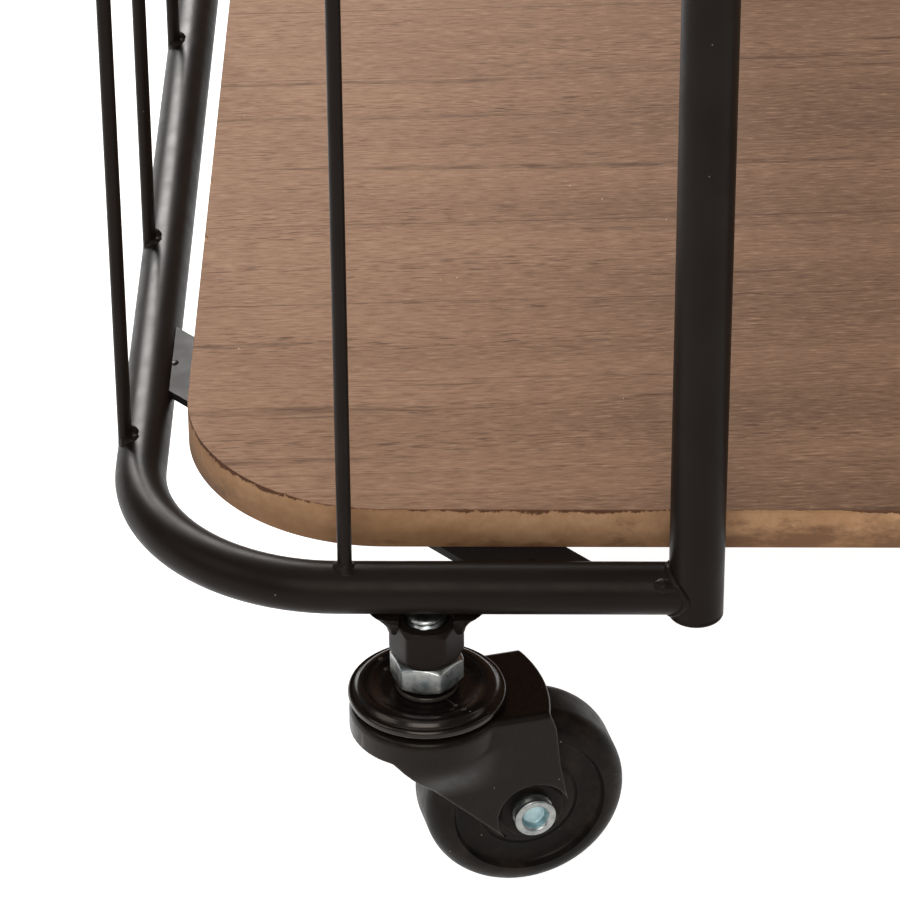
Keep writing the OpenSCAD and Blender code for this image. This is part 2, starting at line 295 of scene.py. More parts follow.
class Graph:
    """A material's node graph with one Principled shader, and short ways to add to it."""

    def __init__(self, name: str) -> None:
        """Makes an empty material with a shader and an output."""
        self.material = bpy.data.materials.new(name)
        self.material.use_nodes = True
        self.tree = self.material.node_tree
        self.tree.nodes.clear()
        self.shader = self.add("ShaderNodeBsdfPrincipled")
        output = self.add("ShaderNodeOutputMaterial")
        self.tree.links.new(self.shader.outputs["BSDF"], output.inputs["Surface"])
        self.place = self.add("ShaderNodeTexCoord").outputs["Object"]

    def add(self, kind: str, **settings: Any) -> bpy.types.Node:
        """Adds a node; settings are its properties."""
        node = self.tree.nodes.new(kind)
        for key, value in settings.items():
            setattr(node, key, value)
        return node

    def feed(self, socket: Socket, value: Any) -> None:
        """Links value to socket if it is another socket, or sets it there; a colour gets its alpha."""
        if isinstance(value, Socket):
            self.tree.links.new(value, socket)
        else:
            socket.default_value = (*value, 1.0) if socket.type == "RGBA" else value

    def fill(self, node: bpy.types.Node, **sockets: Any) -> bpy.types.Node:
        """Feeds a node's sockets, with spaces written as underscores, and returns the node."""
        for key, value in sockets.items():
            self.feed(node.inputs[key.replace("_", " ")], value)
        return node

    def math(self, how: str, a: Any, b: Any = 0.0, c: Any = 0.0) -> Socket:
        """A Math node's result."""
        node = self.add("ShaderNodeMath", operation=how)
        for socket, value in zip(node.inputs, (a, b, c)):
            self.feed(socket, value)
        return node.outputs[0]

    def scaled(self, factors: Sequence[float], place: Any = None) -> Socket:
        """The piece's own coordinates, stretched by factors."""
        node = self.fill(self.add("ShaderNodeMapping"), Vector=place or self.place, Scale=factors)
        return node.outputs[0]

    def grain(self, scale: float, detail: float = 3.0, rough: float = 0.5, place: Any = None,
              distort: float = 0.0) -> Socket:
        """Noise from 0 to 1 at so many waves a metre."""
        node = self.fill(self.add("ShaderNodeTexNoise"), Vector=place or self.place, Scale=scale,
                         Detail=detail, Roughness=rough, Distortion=distort)
        return node.outputs["Fac"]

    def step(self, value: Any, low: float, high: float, to_low: float = 0.0,
             to_high: float = 1.0) -> Socket:
        """Maps low to high onto to_low to to_high, held at both ends."""
        node = self.fill(self.add("ShaderNodeMapRange"), Value=value, From_Min=low, From_Max=high,
                         To_Min=to_low, To_Max=to_high)
        return node.outputs[0]

    def blend(self, share: Any, first: Any, second: Any) -> Socket:
        """Mixes two colours."""
        node = self.add("ShaderNodeMix", data_type="RGBA")
        for number, value in ((0, share), (6, first), (7, second)):
            self.feed(node.inputs[number], value)
        return node.outputs[2]

    def join(self, x: Any, y: Any, z: Any) -> Socket:
        """A vector made of three numbers."""
        node = self.add("ShaderNodeCombineXYZ")
        for socket, value in zip(node.inputs, (x, y, z)):
            self.feed(socket, value)
        return node.outputs[0]

    def split(self, place: Any = None) -> tuple[Socket, ...]:
        """The x, y and z of a vector."""
        node = self.add("ShaderNodeSeparateXYZ")
        self.feed(node.inputs[0], place or self.place)
        return tuple(node.outputs)

    def specks(self, scale: float, share: float, size: float) -> Socket:
        """1 on scattered dots and 0 elsewhere.

        Args:
            scale: Cells a metre.
            share: Share of the cells that hold a dot.
            size: Radius of a dot as a share of a cell.

        Returns:
            The dots' mask.
        """
        cells = self.fill(self.add("ShaderNodeTexVoronoi"), Vector=self.place, Scale=scale)
        pick = self.split(cells.outputs["Color"])[0]
        chosen = self.math("LESS_THAN", pick, share)
        near = self.step(cells.outputs["Distance"], size, size * 0.6)
        return self.math("MULTIPLY", chosen, near)

    def bump(self, height: Any, strength: float, distance: float, below: Any = None) -> Socket:
        """A bumped normal, laid over another one where below is given."""
        node = self.fill(self.add("ShaderNodeBump"), Height=height, Strength=strength, Distance=distance)
        if below is not None:
            self.feed(node.inputs["Normal"], below)
        return node.outputs[0]

    def finish(self, **sockets: Any) -> bpy.types.Material:
        """Feeds the shader's sockets and returns the material."""
        self.fill(self.shader, **sockets)
        return self.material


@dataclass(frozen=True)
class PowderCoat:
    """Satin black powder coat: fine orange peel, a few dust specks and uneven sheen."""

    name: str = "powder_coat"
    dark: Colour = (0.0062, 0.0042, 0.0034)
    light: Colour = (0.0088, 0.0064, 0.0054)
    sheen: float = 0.38
    specular: float = 0.075

    def material(self) -> bpy.types.Material:
        """Builds the finish."""
        g = Graph(self.name)
        cloud = g.grain(38.0, 3.0)
        colour = g.blend(g.step(cloud, 0.35, 0.7), self.dark, self.light)
        colour = g.blend(g.specks(330.0, 0.07, 0.085), colour, (0.12, 0.1, 0.085))
        rough = g.step(g.grain(160.0, 3.0, 0.6), 0.25, 0.75, self.sheen - 0.06, self.sheen + 0.08)
        peel = g.bump(g.grain(850.0, 2.0), 0.2, 0.06 * MM)
        peel = g.bump(g.grain(3200.0, 2.0), 0.14, 0.03 * MM, peel)
        return g.finish(Base_Color=colour, Roughness=rough, Specular_IOR_Level=self.specular,
                        Specular_Tint=WARM, Normal=peel)


@dataclass(frozen=True)
class PressedBlack:
    """Black paint on pressed sheet: faint rubbed marks, convex edges lightened as a painted highlight, and a
    wet or satin gloss.
    """

    name: str
    tone: Colour = (0.0045, 0.0034, 0.003)
    rough: float = 0.17
    specular: float = 0.3
    wear: float = 0.06

    def material(self) -> bpy.types.Material:
        """Builds the finish."""
        g = Graph(self.name)
        rubbed = g.step(g.grain(240.0, 5.0, 0.65), 0.52, 0.8, 0.0, self.wear)
        colour = g.blend(rubbed, self.tone, (0.035, 0.03, 0.028))
        colour = g.blend(g.specks(700.0, 0.025, 0.13), colour, (0.16, 0.145, 0.13))
        # Painted highlight: convex edges, the fork's fold among them, are lightened.
        edge = g.add("ShaderNodeNewGeometry").outputs["Pointiness"]
        colour = g.blend(g.step(edge, 0.53, 0.6, 0.0, 0.7), colour, (0.075, 0.062, 0.052))
        rough = g.step(g.grain(420.0, 4.0, 0.6), 0.3, 0.75, self.rough, self.rough + 0.14)
        normal = g.bump(g.grain(620.0, 3.0), 0.12, 0.05 * MM)
        return g.finish(Base_Color=colour, Roughness=rough, Specular_IOR_Level=self.specular,
                        Specular_Tint=WARM, Normal=normal)


@dataclass(frozen=True)
class ZincPlate:
    """Bright zinc plating with tool marks, cloudy gloss and a faint blue cast."""

    name: str = "zinc_plate"
    bright: Colour = (0.33, 0.33, 0.31)
    blue: Colour = (0.15, 0.17, 0.18)
    rough: float = 0.25

    def material(self) -> bpy.types.Material:
        """Builds the finish."""
        g = Graph(self.name)
        cloud = g.step(g.grain(300.0, 4.0, 0.6), 0.4, 0.72)
        colour = g.blend(cloud, self.bright, self.blue)
        stain = g.step(g.grain(900.0, 4.0, 0.7), 0.6, 0.8, 0.0, 0.55)
        colour = g.blend(stain, colour, (0.2, 0.19, 0.18))
        rough = g.step(g.grain(700.0, 4.0, 0.7), 0.3, 0.75, self.rough, self.rough + 0.22)
        marks = g.grain(260.0, 2.0, 0.5, g.scaled((1.0, 1.0, 9.0)))
        return g.finish(Base_Color=colour, Metallic=1.0, Roughness=rough,
                        Normal=g.bump(marks, 0.16, 0.06 * MM))


@dataclass(frozen=True)
class WheelRubber:
    """Black moulded wheel: fine mould texture, brown road dust and small scuffs."""

    name: str = "wheel_black"
    tone: Colour = (0.005, 0.0041, 0.0038)
    dust: Colour = (0.05, 0.035, 0.024)

    def material(self) -> bpy.types.Material:
        """Builds the finish."""
        g = Graph(self.name)
        dusty = g.step(g.grain(75.0, 6.0, 0.68), 0.5, 0.85, 0.0, 0.55)
        colour = g.blend(dusty, self.tone, self.dust)
        colour = g.blend(g.specks(520.0, 0.05, 0.13), colour, (0.16, 0.13, 0.105))
        rough = g.step(g.grain(330.0, 4.0, 0.6), 0.3, 0.75, 0.32, 0.5)
        normal = g.bump(g.grain(2600.0, 2.0), 0.2, 0.04 * MM)
        return g.finish(Base_Color=colour, Roughness=rough, Specular_IOR_Level=0.085,
                        Specular_Tint=WARM, Normal=normal)


@dataclass(frozen=True)
class WalnutVeneer:
    """Walnut veneer laid in strips along the board: soft figure, fibres, short open pores and a broad wave of
    painted shade along its length.
    """

    name: str = "walnut_veneer"
    light: Colour = (0.212, 0.121, 0.074)
    mid: Colour = (0.104, 0.057, 0.034)
    dark: Colour = (0.038, 0.018, 0.01)
    pale: Colour = (0.31, 0.195, 0.125)
    slant: float = 0.055
    strip: float = 0.039
    strip_shift: float = 0.006
    # swell and the two fields after it set a broad wave of painted shade along the board, for light falling
    # off.
    swell: float = 0.36
    shade_wave_rate: float = 18.0
    shade_wave_start: float = 4.9

    def material(self) -> bpy.types.Material:
        """Builds the finish."""
        g = Graph(self.name)
        x, y, _ = g.split()
        y = g.math("MULTIPLY_ADD", x, -self.slant, y)
        wander = g.step(g.grain(2.2, 1.0), 0.0, 1.0, self.strip_shift - 1.5 * MM, self.strip_shift + 1.5 * MM)
        along = g.math("DIVIDE", g.math("ADD", y, wander), self.strip)
        lane = g.math("FLOOR", along)
        chance = g.add("ShaderNodeTexWhiteNoise", noise_dimensions="1D")
        g.fill(chance, W=lane)
        lane_tone = g.step(chance.outputs["Value"], 0.0, 1.0, -0.08, 0.08)
        bend = g.step(g.grain(1.0, 2.0, 0.5, g.scaled((9.0, 16.0, 1.0))), 0.2, 0.8, -1.6 * MM, 1.6 * MM)
        own = g.join(g.math("MULTIPLY_ADD", chance.outputs["Value"], 3.0, x), g.math("ADD", y, bend), lane)
        figure = g.grain(1.0, 4.0, 0.55, g.scaled((3.4, 60.0, 1.7), own), 0.7)
        share = g.math("ADD", g.step(figure, 0.3, 0.72, 0.14, 0.62), lane_tone)
        # Painted shade: a broad sine wave along x darkens the veneer from its left end inwards.
        swell = g.math("SINE", g.math("MULTIPLY_ADD", x, self.shade_wave_rate, self.shade_wave_start))
        share = g.math("MULTIPLY_ADD", swell, self.swell, share)
        colour = g.blend(g.step(share, 0.0, 1.0), self.light, self.mid)
        fibre = g.grain(1.0, 3.0, 0.65, g.scaled((190.0, 1250.0, 1.0), own))
        colour = g.blend(g.step(fibre, 0.5, 0.76, 0.0, 0.55), colour, self.dark)
        colour = g.blend(g.step(fibre, 0.26, 0.46, 0.5, 0.0), colour, self.pale)
        pores = g.grain(1.0, 2.0, 0.6, g.scaled((125.0, 1500.0, 1.0), own))
        patchy = g.step(g.grain(1.0, 3.0, 0.5, g.scaled((7.0, 85.0, 1.0), own)), 0.46, 0.62, 0.12, 1.0)
        open_pore = g.math("MULTIPLY", g.step(pores, 0.56, 0.64), patchy)
        colour = g.blend(g.math("MULTIPLY", open_pore, 0.6), colour, self.dark)
        streak = g.grain(1.0, 2.0, 0.5, g.scaled((5.0, 210.0, 1.0), own), 0.4)
        broken = g.step(g.grain(1.0, 3.0, 0.6, g.scaled((70.0, 500.0, 1.0), own)), 0.42, 0.6, 0.15, 0.6)
        colour = g.blend(g.math("MULTIPLY", g.step(streak, 0.63, 0.7), broken), colour, self.dark)
        seam = g.step(g.math("ABSOLUTE", g.math("SUBTRACT", g.math("FRACT", along), 0.5)), 0.492, 0.5)
        colour = g.blend(g.math("MULTIPLY", seam, g.step(figure, 0.4, 0.6, 0.15, 0.75)), colour, self.dark)
        colour = g.blend(g.specks(240.0, 0.02, 0.05), colour, (0.55, 0.43, 0.33))
        rough = g.step(fibre, 0.2, 0.8, 0.58, 0.72)
        normal = g.bump(g.math("SUBTRACT", fibre, open_pore), 0.3, 0.09 * MM)
        return g.finish(Base_Color=colour, Roughness=rough, Specular_IOR_Level=0.03, Normal=normal)


@dataclass(frozen=True)
class RawBoardEdge:
    """Sawn fibreboard edge: tan and furry, with brown runs towards the middle and a ragged top line."""

    name: str = "raw_board_edge"
    tan: Colour = (0.35, 0.2, 0.106)
    deep: Colour = (0.2, 0.098, 0.04)
    stain: Colour = (0.1, 0.043, 0.017)
    veneer: Colour = (0.085, 0.036, 0.017)
    thickness: float = 0.011

    def material(self) -> bpy.types.Material:
        """Builds the finish; the piece's own z is 0 on the board's face and falls below it."""
        g = Graph(self.name)
        x, _, z = g.split()
        fluff = g.grain(420.0, 5.0, 0.65)
        colour = g.blend(g.step(fluff, 0.35, 0.75, 0.0, 0.5), self.tan, self.deep)
        cloud = g.grain(1.0, 3.0, 0.6, g.scaled((28.0, 28.0, 60.0)))
        colour = g.blend(g.step(cloud, 0.42, 0.7, 0.0, 0.8), colour, self.deep)
        low = g.step(z, -self.thickness, -0.55 * self.thickness, 0.6, 0.0)
        colour = g.blend(low, colour, self.deep)
        run_noise = g.grain(1.0, 6.0, 0.7, g.scaled((38.0, 38.0, 85.0)))
        reach = g.step(z, -self.thickness, 0.0, 0.14, -0.1)
        where = g.step(g.math("ABSOLUTE", x), 0.215, 0.3, 0.045, -0.13)
        run = g.step(g.math("ADD", g.math("ADD", run_noise, reach), where), 0.52, 0.66, 0.0, 0.85)
        colour = g.blend(run, colour, self.stain)
        ragged = g.grain(1.0, 6.0, 0.8, g.scaled((260.0, 260.0, 260.0)))
        patchy = g.step(g.grain(22.0, 2.0), 0.4, 0.62, 0.25 * MM, 1.9 * MM)
        torn_z = g.math("MULTIPLY", g.step(ragged, 0.36, 0.66), patchy)
        torn = g.step(g.math("ADD", z, torn_z), -0.05 * MM, 0.05 * MM)
        colour = g.blend(torn, colour, self.veneer)
        normal = g.bump(g.grain(1900.0, 4.0, 0.7), 0.35, 0.12 * MM)
        normal = g.bump(torn, 0.35, 0.12 * MM, normal)
        return g.finish(Base_Color=colour, Roughness=g.step(run, 0.0, 1.0, 0.86, 0.6),
                        Specular_IOR_Level=0.22, Normal=normal)


@dataclass(frozen=True)
class PaleFloor:
    """Plain pale studio floor, lit a little from below like a light table."""

    name: str = "studio_floor"
    tone: Colour = (0.45, 0.45, 0.45)
    glow: float = 0.92

    def material(self) -> bpy.types.Material:
        """Builds the finish."""
        g = Graph(self.name)
        colour = g.blend(g.grain(0.8, 2.0), self.tone, (0.46, 0.46, 0.46))
        return g.finish(Base_Color=colour, Roughness=0.95, Specular_IOR_Level=0.05,
                        Emission_Color=(1.0, 1.0, 1.0), Emission_Strength=self.glow)


class Finish(Enum):
    """The cart's finishes, each with the record's material slot that it belongs to."""

    COAT = ("black_frame", PowderCoat())
    # The braces' coat is a lighter, more matt copy of the frame's black coat: its extra lightness is painted
    # light for their lit upper faces.
    BRACE_COAT = ("black_frame", PowderCoat("brace_coat", (0.0085, 0.0072, 0.007),
                                            (0.012, 0.0105, 0.01), 0.42, 0.075))
    PRESSED = ("black_frame", PressedBlack("fork_black", (0.0052, 0.0037, 0.0029), 0.24, 0.14, 0.08))
    RACE = ("race_cap", PressedBlack("race_gloss"))
    ZINC = ("zinc_steel", ZincPlate())
    ZINC_HOLLOW = ("zinc_steel", ZincPlate("zinc_hollow", (0.4, 0.52, 0.53), (0.2, 0.31, 0.34), 0.38))
    WHEEL = ("wheel", WheelRubber())
    VENEER = ("shelf_board", WalnutVeneer())
    BOARD_EDGE = ("shelf_board", RawBoardEdge())

    @property
    def slot(self) -> str:
        """The record's material slot."""
        return self.value[0]

    @property
    def material(self) -> bpy.types.Material:
        """The finish's material, built once."""
        return built_material(self)


@lru_cache(maxsize=None)
def built_material(finish: Finish) -> bpy.types.Material:
    """Builds a finish's material the first time it is asked for."""
    return finish.value[1].material()


def dress(obj: Piece, *finishes: Finish) -> Piece:
    """Gives an object its finishes, in the order of its material indices."""
    if obj.data.materials:
        obj.data.materials.clear()
    for finish in finishes:
        obj.data.materials.append(finish.material)
    return obj


# ---- Sizes ----


@dataclass(frozen=True)
class CartSizes:
    """The cart's main places and radii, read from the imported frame."""

    rail_r: float
    post_r: float
    end_x: float
    row_y: float
    post_x: float
    level_z: tuple[float, float, float]
    post_low: float
    post_high: float
    front_wire_x: float
    side_wire_x: float
    guard_z: float
    wire_r: float = 1.75 * MM
    bend_r: float = 50 * MM
    side_wire_y: tuple[float, float] = (54 * MM, 148.5 * MM)
    cap_t: float = 1.2 * MM

    @classmethod
    def from_frame(cls) -> CartSizes:
        """Measures the left end's nodes."""
        rails = [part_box(f"left_{level}_rail") for level in ("bottom", "middle", "top")]
        low, high = rails[0]
        rail_r = (high.z - low.z) / 2
        post_low, post_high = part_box("left_front_post")
        caps_low, caps_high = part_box("post_caps")
        wires_low, wires_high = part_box("left_lower_wires")
        guard_low, guard_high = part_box("front_guard_rail")
        return cls(
            rail_r=rail_r,
            post_r=(post_high.x - post_low.x) / 2,
            end_x=-low.x - rail_r,
            row_y=-low.y - rail_r,
            post_x=-(post_high.x + post_low.x) / 2,
            level_z=tuple((a.z + b.z) / 2 for a, b in rails),
            post_low=caps_low.z,
            post_high=caps_high.z,
            front_wire_x=-wires_high.x + cls.wire_r,
            side_wire_x=-wires_low.x - cls.wire_r,
            guard_z=(guard_low.z + guard_high.z) / 2,
        )


# ---- End cages ----


class Level(Enum):
    """The three heights at which a rail runs round an end."""

    BOTTOM = 0
    MIDDLE = 1
    TOP = 2


@dataclass
class EndCage:
    """One welded end: bent rails, posts with closed ends, upright wires, and the welds at the posts, wires
    and braces.
    """

    name: str
    side: int
    sizes: CartSizes
    bend_steps: int = 26
    wire_sides: int = 28
    post_sides: int = 72
    bead_drops: int = 44
    bead_sink: float = 0.2 * MM
    pieces: list[Piece] = field(default_factory=list)

    def point(self, out: float, y: float, z: float) -> Vector:
        """A point that is out metres from the cart's middle on this end's side."""
        return Vector((self.side * out, y, z))

    def rail_path(self, z: float) -> list[Vector]:
        """Centre line of a rail, from inside the front post round to inside the rear post."""
        s = self.sizes
        path = [self.point(s.post_x + 0.5 * s.post_r, -s.row_y, z)]
        for row in (-1, 1):
            turns = shares(self.bend_steps)
            for turn in turns if row < 0 else reversed(turns):
                a = turn * math.pi / 2
                path.append(self.point(s.end_x - s.bend_r * (1 - math.sin(a)),
                                       row * (s.row_y - s.bend_r * (1 - math.cos(a))), z))
        path.append(self.point(s.post_x + 0.5 * s.post_r, s.row_y, z))
        return path

    def build_rail(self, level: Level) -> None:
        """Bends one rail."""
        bm = bmesh.new()
        sweep(bm, self.rail_path(self.sizes.level_z[level.value]), self.sizes.rail_r)
        rail = mesh_object(f"{self.name}_{level.name.lower()}_bent_rail", bm, 60)
        self.keep(rail, f"{self.name}_{level.name.lower()}_rail")

    def build_post(self, row: int) -> None:
        """Cuts one post between its two closed ends."""
        s = self.sizes
        row_name = "front" if row < 0 else "rear"
        bm = bmesh.new()
        ends = (s.post_low + s.cap_t, s.post_high - s.cap_t)
        sweep(bm, [self.point(s.post_x, row * s.row_y, z) for z in ends], s.post_r, self.post_sides)
        self.keep(mesh_object(f"{self.name}_{row_name}_tube_post", bm, 60), f"{self.name}_{row_name}_post")

    def wire_feet(self) -> list[tuple[Vector, bool]]:
        """Where the wires stand, and whether each one is a side wire."""
        s = self.sizes
        feet = [(self.point(s.side_wire_x, sign * y, 0), True) for y in s.side_wire_y for sign in (-1, 1)]
        return feet + [(self.point(s.front_wire_x, sign * s.row_y, 0), False) for sign in (-1, 1)]

    def build_wires(self, name: str, low: Level, high: Level) -> None:
        """Stands the wires between two rails; their ends reach just into the weld metal."""
        s = self.sizes
        bm = bmesh.new()
        for foot, beside in self.wire_feet():
            over = 0.5 * s.rail_r if beside else 0.85 * s.rail_r
            ends = (s.level_z[low.value] + over, s.level_z[high.value] - over)
            sweep(bm, [foot + Vector((0, 0, z)) for z in ends], s.wire_r, self.wire_sides)
        self.keep(mesh_object(f"{self.name}_{name}_upright_wires", bm, 60), f"{self.name}_{name}_wires")

    def wire_lumps(self, level: Level, above: bool) -> list[Lump]:
        """Weld metal round the wires' feet on one side of a rail."""
        s = self.sizes
        sign = 1 if above else -1
        lumps = []
        for number, (foot, beside) in enumerate(self.wire_feet()):
            lean = s.side_wire_x - s.end_x if beside else 0.0
            height = sign * math.sqrt(s.rail_r**2 - lean**2)
            root = foot + Vector((0, 0, s.level_z[level.value] + height))
            jitter = noise.noise_vector(root * 700 + Vector((number, 0, 0)))
            if beside:
                drops = ((Vector((-1.3, 0, -0.7)), Vector((3.2, 3.3, 3.0))),
                         (Vector((-0.9, 0.9 + jitter.z, 0.9)), Vector((2.5, 2.4, 2.1))),
                         (Vector((-1.9, -1.6, 0.2)), Vector((2.3, 2.1, 1.9))))
            else:
                drops = ((Vector((0, 0, -1.3)), Vector((4.3, 3.6, 1.75))),
                         (Vector((0.2, 0, 0.0)), Vector((2.7, 2.6, 1.1))),
                         (Vector((0, 0, 0.5)), Vector((2.15, 2.1, 1.3))))
            for offset, size in drops:
                at = root + Vector((self.side * offset.x, offset.y, sign * offset.z)) * MM
                lumps.append(Lump(at, size * MM * (1 + 0.1 * jitter.x)))
        return lumps

    def post_lumps(self, level: Level) -> list[Lump]:
        """A bead of weld metal round each end of a rail, where it meets its post, and a drop beside it."""
        s = self.sizes
        lumps = []
        for row in (-1, 1):
            for k in range(self.bead_drops):
                a = k / self.bead_drops * math.tau
                y, z = (s.rail_r - self.bead_sink) * math.cos(a), (s.rail_r - self.bead_sink) * math.sin(a)
                out = s.post_x + math.sqrt(max(s.post_r**2 - y * y, 0.0)) + 0.1 * MM
                at = self.point(out, row * s.row_y + y, s.level_z[level.value] + z)
                thick = 1 + 0.35 * noise.noise(at * 260)
                lumps.append(Lump(at, Vector((0.95, 0.8, 0.8)) * MM * thick))
            spatter = self.point(s.post_x + 7.6 * MM, row * (s.row_y + s.rail_r - 2.5 * MM),
                                 s.level_z[level.value] + 3.4 * MM)
            lumps.append(Lump(spatter, Vector((3.4, 2.3, 1.9)) * MM))
        return lumps

    def brace_lumps(self, level: Level) -> list[Lump]:
        """Spots of weld metal at the ends of the braces."""
        s = self.sizes
        low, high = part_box(f"{self.name}_{'bottom' if level is Level.BOTTOM else 'top'}_braces")
        far = max(abs(low.x), abs(high.x))
        reach = abs(high.x - low.x)
        lumps = []
        for row in (-1, 1):
            edge_y = row * max(abs(low.y), abs(high.y))
            inner = s.rail_r - 0.6 * MM
            spots = [(s.end_x - inner, edge_y - row * (reach - 17 * MM)),
                     (far - (reach - 15 * MM), row * (s.row_y - inner))]
            for x, y in spots:
                at = self.point(x, y, high.z - 0.9 * MM)
                jitter = noise.noise_vector(at * 333)
                lumps.append(Lump(at + jitter * 0.5 * MM, Vector((1.6, 2.2, 1.2)) * MM))
                lumps.append(Lump(at + Vector((0.4, 1.8 * row, -0.4)) * MM, Vector((1.2, 1.5, 1.0)) * MM))
        return lumps

    def build_welds(self, level: Level) -> None:
        """Lays the weld metal on one rail."""
        lumps = self.post_lumps(level)
        if level is not Level.TOP:
            lumps += self.wire_lumps(level, True) + self.brace_lumps(level)
        if level is not Level.BOTTOM:
            lumps += self.wire_lumps(level, False)
        welds = weld_object(f"{self.name}_{level.name.lower()}_welds", lumps)
        self.hold_in(welds)
        self.keep(welds)

    def hold_in(self, piece: Piece) -> None:
        """Keeps weld metal from standing proud of the wires' outer sides and of the post's ends."""
        s = self.sizes
        reach = s.side_wire_x + s.wire_r
        for vert in piece.data.vertices:
            vert.co.x = max(-reach, min(reach, vert.co.x))
            vert.co.z = max(s.post_low, min(s.post_high, vert.co.z))

    def keep(self, piece: Piece, *nodes: str) -> None:
        """Dresses a piece, hangs it on the frame and lets it stand for CAD nodes."""
        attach(dress(piece, Finish.COAT), "frame")
        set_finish(piece, Finish.COAT.slot)
        if nodes:
            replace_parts(piece, *nodes)
        self.pieces.append(piece)

    def build(self) -> None:
        """Builds the whole end."""
        for level in Level:
            self.build_rail(level)
            self.build_welds(level)
        for row in (-1, 1):
            self.build_post(row)
        self.build_wires("lower", Level.BOTTOM, Level.MIDDLE)
        self.build_wires("upper", Level.MIDDLE, Level.TOP)


@dataclass
class PostCaps:
    """The closed, rounded ends of the four posts."""

    sizes: CartSizes

    def build(self) -> None:
        """Turns eight ends in one piece."""
        s = self.sizes
        outline = fillet([(0.0, 0.0), (s.post_r, 0.0), (s.post_r, s.cap_t), (0.0, s.cap_t)], 1.1 * MM, 8)
        bm = bmesh.new()
        for sx in (-1, 1):
            for sy in (-1, 1):
                for z, up in ((s.post_low, 1), (s.post_high, -1)):
                    corner = Matrix.Translation((sx * s.post_x, sy * s.row_y, z))
                    done = len(bm.verts)
                    lathe(bm, outline, 72)
                    bmesh.ops.transform(bm, matrix=corner @ Matrix.Diagonal((1, 1, up, 1)),
                                        verts=bm.verts[done:])
        caps = mesh_object("post_end_caps", bm, 50)
        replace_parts(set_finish(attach(dress(caps, Finish.COAT), "frame"), Finish.COAT.slot), "post_caps")


# ---- Shelves ----


@dataclass
class ShelfBoard:
    """A fibreboard shelf with veneer on both faces, a raw edge and small chips along its rim."""

    node: str
    seed: float
    corner_r: float = 50 * MM
    veneer_t: float = 0.55 * MM
    step: float = 1.2 * MM

    def outline(self, half_x: float, half_y: float) -> list[tuple[Vector, Vector]]:
        """Points round the board with their outward directions.

        Args:
            half_x: Half of the board's length.
            half_y: Half of its depth.

        Returns:
            Pairs of place and direction, both flat.
        """
        r = self.corner_r
        corners = [(half_x - r, half_y - r), (-half_x + r, half_y - r), (-half_x + r, -half_y + r),
                   (half_x - r, -half_y + r)]
        out = []
        arc_steps = int(r * math.pi / 2 / self.step)
        for i, (cx, cy) in enumerate(corners):
            for turn in shares(arc_steps):
                a = (i + turn) * math.pi / 2
                way = Vector((math.cos(a), math.sin(a), 0))
                out.append((Vector((cx, cy, 0)) + r * way, way))
            way = out[-1][1]
            start = out[-1][0]
            nx, ny = corners[(i + 1) % 4]
            end = Vector((nx, ny, 0)) + r * way
            count = int((end - start).length / self.step)
            out += [(start.lerp(end, k / count), way) for k in range(1, count)]
        return out

    def chipped(self, at: Vector) -> float:
        """How far the veneer's rim is worn back at a place: mostly hair fine, with a few chips."""
        here = at + Vector((0, 0, self.seed))
        fine = 0.1 * MM * (1 + noise.noise(here * 900))
        chip = max(0.0, noise.noise(here * 210) - 0.42) * 4.2 * MM
        return fine + chip

    def rings(self, rim: list[tuple[Vector, Vector]], sections: Sequence[tuple[float, float, float]]) \
            -> list[list[Vector]]:
        """Rings of points that follow the rim.

        Args:
            rim: The outline.
            sections: For each ring its inset, its height and how much of the chipping it takes.

        Returns:
            The rings.
        """
        return [[p - way * (inset + share * self.chipped(p)) + Vector((0, 0, z)) for p, way in rim]
                for inset, z, share in sections]

    def build(self) -> None:
        """Makes the board and its veneer as one piece with two finishes."""
        low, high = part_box(self.node)
        half_x, half_y, thick = high.x, high.y, high.z - low.z
        rim = self.outline(half_x, half_y)
        bm = bmesh.new()
        skin_rings(bm, self.rings(rim, [(1.1 * MM, -thick, 0), (0.3 * MM, -thick + 0.12 * MM, 0),
                                        (0.08 * MM, -thick + 0.5 * MM, 0), (0.08 * MM, -1.0 * MM, 0),
                                        (0.1 * MM, -self.veneer_t, 0)]))
        skin_rings(bm, self.rings(rim, [(0.14 * MM, -self.veneer_t, 0.4),
                                        (0.06 * MM, -self.veneer_t + 0.05 * MM, 1), (0.06 * MM, -0.2 * MM, 1),
                                        (0.14 * MM, -0.06 * MM, 1.1), (0.32 * MM, 0.0, 1.2)]))
        for face in bm.faces:
            heights = [vert.co.z for vert in face.verts]
            face.material_index = int(min(heights) > -0.1 * MM or max(heights) < 0.05 * MM - thick)
        board = mesh_object(f"{self.node}_board", bm, 35)
        board.matrix_world = Matrix.Translation((0, 0, high.z))
        dress(board, Finish.BOARD_EDGE, Finish.VENEER)
        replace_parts(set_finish(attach(board, "frame"), Finish.VENEER.slot), self.node)


# ---- Guard rails ----


@dataclass
class GuardRail:
    """The straight rail between two posts; its bolt heads keep their CAD shape."""

    row: int
    sizes: CartSizes

    def build(self) -> None:
        """Cuts the rail from post to post."""
        s = self.sizes
        name = "front" if self.row < 0 else "rear"
        reach = s.post_x - 0.75 * s.post_r
        bm = bmesh.new()
        sweep(bm, [Vector((x, self.row * s.row_y, s.guard_z)) for x in (-reach, reach)], s.rail_r)
        rail = mesh_object(f"{name}_guard_tube", bm, 60)
        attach(dress(rail, Finish.COAT), "frame")
        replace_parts(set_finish(rail, Finish.COAT.slot), f"{name}_guard_rail")


# ---- Casters ----


@dataclass(frozen=True)
class CasterPlace:
    """Where one caster stands and which way its wheel trails."""

    name: str
    x: float
    y: float
    heading: float

    @property
    def fixed(self) -> Matrix:
        """Place of the parts that are fixed to the frame."""
        return Matrix.Translation((self.x, self.y, 0))

    @property
    def turned(self) -> Matrix:
        """Place of the parts that swivel."""
        return self.fixed @ Matrix.Rotation(self.heading, 4, "Z")


